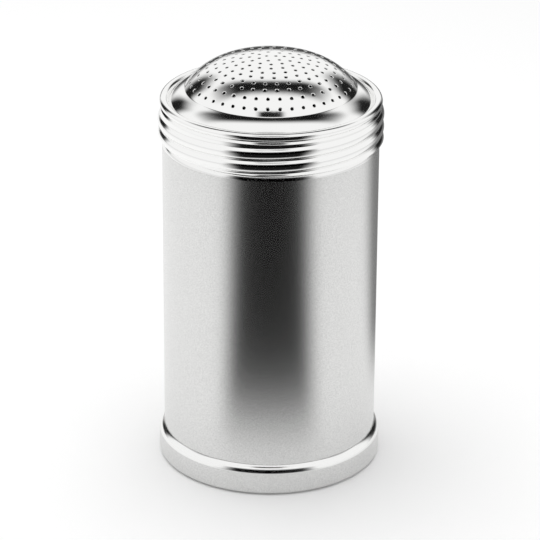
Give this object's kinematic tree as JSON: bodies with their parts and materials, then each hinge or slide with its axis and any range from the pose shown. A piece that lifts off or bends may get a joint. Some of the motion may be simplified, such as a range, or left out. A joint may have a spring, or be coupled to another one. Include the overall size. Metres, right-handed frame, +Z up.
{
  "type": "spice shaker",
  "caption": "Stainless steel spice shaker: a satin round can on a pressed foot, with a polished perforated dome lid that screws onto its neck.",
  "frame": {"origin": "centre of the standing ring's underside, on the axis of the can", "axes": "+Z up along the can's axis, from the foot to the dome; +X to the right and -Y towards the viewer in the pictured view"},
  "size_m": [0.07, 0.07, 0.1322],
  "materials": {
    "foot_steel": "satin band under a polished shoulder",
    "can_steel": "bead-blasted satin wall, polished shoulder and neck",
    "seal_silicone": "matt",
    "lid_steel": "mirror polished steel"
  },
  "bodies": {
    "can": {"can_wall": "can_steel", "base_cup": "foot_steel"},
    "seal": {"sealing_ring": "seal_silicone"},
    "lid": {"perforated_lid": "lid_steel"}
  },
  "joints": [
    {"name": "seal_lift", "type": "slide", "parent": "can", "child": "seal", "axis": [0, 0, 1], "range_m": [0, 0.0121]},
    {"name": "lid_turn", "type": "hinge", "parent": "seal", "child": "lid", "pos_m": [0, 0, 0.11], "axis": [0, 0, 1], "range_deg": [0, 1080]}
  ],
  "couplings": [
    {"joint": "seal_lift", "follows": "lid_turn", "m_per_rad": 0.00063662}
  ]
}
